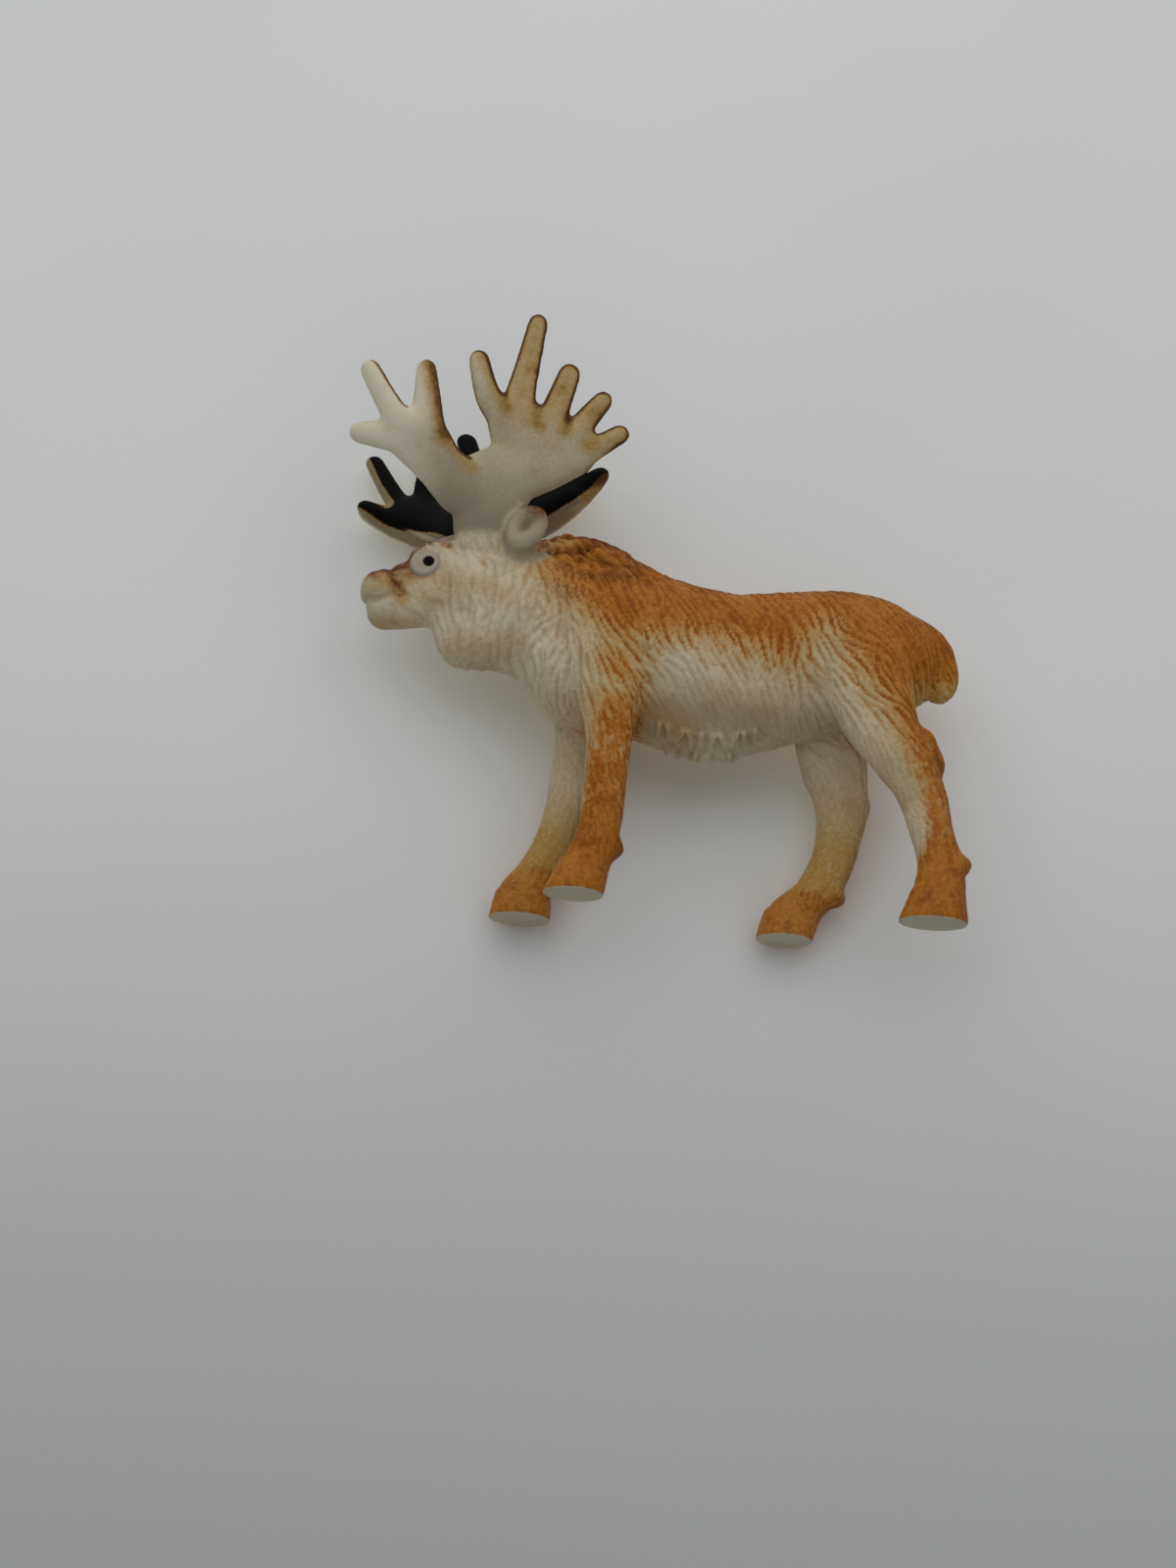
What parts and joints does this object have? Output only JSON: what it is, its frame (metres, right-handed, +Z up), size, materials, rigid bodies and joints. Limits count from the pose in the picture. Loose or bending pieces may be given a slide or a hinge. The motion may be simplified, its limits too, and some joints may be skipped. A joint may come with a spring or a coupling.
{
  "type": "moose figurine",
  "caption": "Small moulded plastic moose standing on its hooves, with wide palmate antlers, a shoulder hump and a beard.",
  "frame": {"origin": "middle of the animal's box, on the plane of its four soles", "axes": "+X from the head towards the tail, +Y towards the animal's right side, +Z up"},
  "size_m": [0.066, 0.022, 0.063],
  "materials": {
    "painted_plastic": "cream soft plastic with orange-brown sprayed and wiped paint, black inside the antlers"
  },
  "bodies": {
    "root": {"moose": "painted_plastic"}
  },
  "joints": []
}
